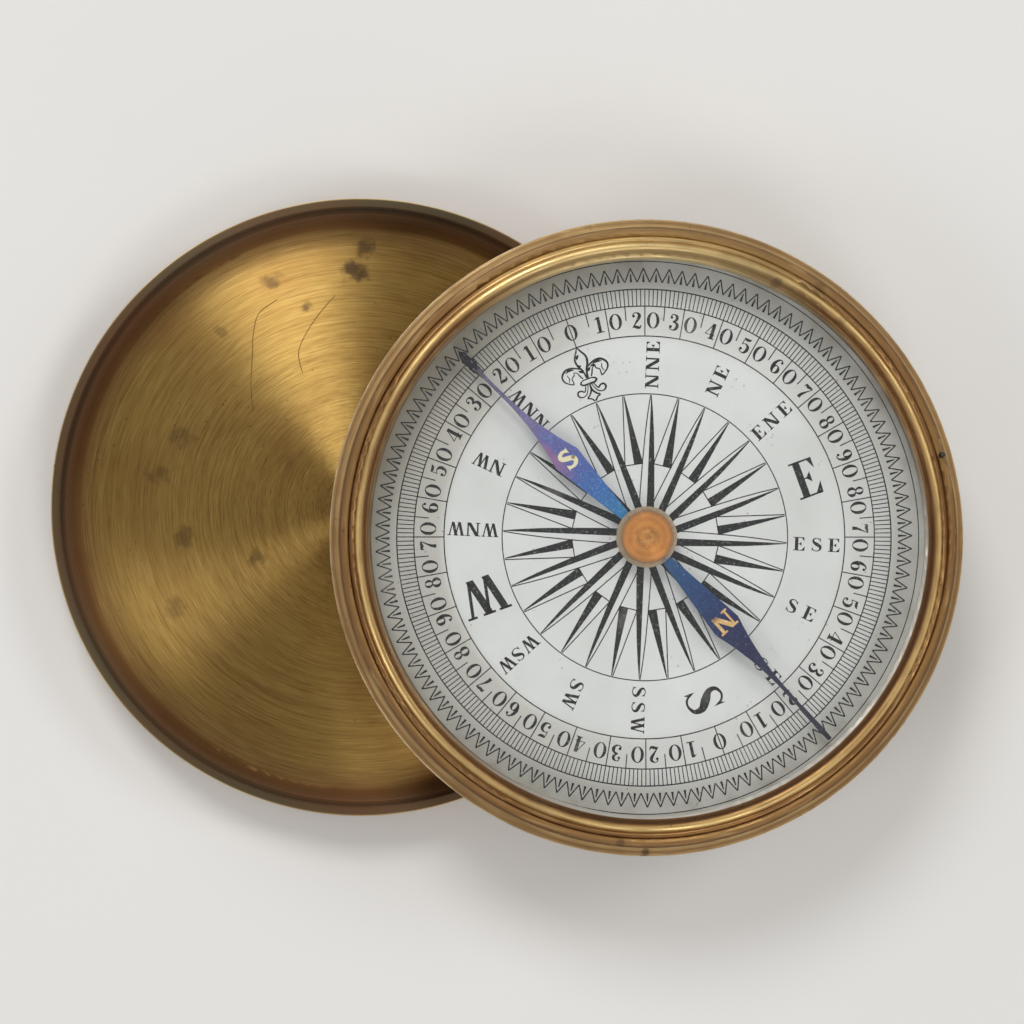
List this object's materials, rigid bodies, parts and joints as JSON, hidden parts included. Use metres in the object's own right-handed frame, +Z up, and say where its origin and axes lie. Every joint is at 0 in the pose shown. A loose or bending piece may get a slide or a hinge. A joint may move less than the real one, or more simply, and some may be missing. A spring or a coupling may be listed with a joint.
{
  "type": "pocket compass",
  "caption": "Round brass pocket compass with an engraved silvered dial and a blued needle under glass, lying on its shallow push-on lid.",
  "frame": {"origin": "centre of the lid's crown face, which lies on the table", "axes": "+X from the lid's centre towards the case's centre, +Z up along the axes of lid and case"},
  "size_m": [0.087, 0.06, 0.0165],
  "materials": {
    "lid_brass": "satin lathe-turned brass, tarnished at the rim",
    "case_brass": "worn polished brass with brown patina in the grooves",
    "window": "clear flat glass",
    "silvered_brass": "matte silvered brass",
    "works_brass": "plain turned brass",
    "steel": "darkened steel",
    "blued_steel": "heat-blued steel, blue at the middle and purple at the tips",
    "cap_copper": "copper-coloured turned brass",
    "agate": "polished stone"
  },
  "bodies": {
    "lid": {"lid": "lid_brass"},
    "case": {"case_cup": "case_brass", "bezel_ring": "case_brass", "glass": "window", "dial_spacer": "silvered_brass", "dial": "silvered_brass", "pivot_stem": "works_brass", "pivot_point": "steel", "fulcrum_bracket": "works_brass", "bracket_screw": "steel", "fulcrum_pin": "steel", "arrest_spring": "works_brass", "spring_screw": "steel"},
    "lever": {"arrest_lever": "works_brass"},
    "lock_pin": {"lock_pin": "steel"},
    "collar": {"lift_collar": "works_brass"},
    "needle": {"needle": "blued_steel", "needle_cap": "cap_copper", "cap_jewel": "agate", "cap_washer": "works_brass"}
  },
  "joints": [
    {"name": "case_lift", "type": "slide", "parent": "lid", "child": "case", "axis": [0, 0, 1], "range_m": [0, 0.06]},
    {"name": "pin_press", "type": "slide", "parent": "case", "child": "lock_pin", "axis": [0, 0, -1], "range_m": [0, 0.0005]},
    {"name": "lever_rock", "type": "hinge", "parent": "case", "child": "lever", "pos_m": [0.03904, 0.00491, 0.00805], "axis": [-0.3778, 0.9259, 0], "range_deg": [0, 1.83], "stiffness_Nm_per_rad": 0.0002, "springref_deg": -5.73},
    {"name": "collar_lift", "type": "slide", "parent": "case", "child": "collar", "axis": [0, 0, 1], "range_m": [0, 0.00049]},
    {"name": "needle_swing", "type": "hinge", "parent": "collar", "child": "needle", "pos_m": [0.027, 0, 0.0124], "axis": [0, 0, 1], "continuous": true}
  ],
  "couplings": [
    {"joint": "lever_rock", "follows": "pin_press", "rad_per_m": 63.857},
    {"joint": "collar_lift", "follows": "pin_press", "ratio": 0.97701}
  ]
}
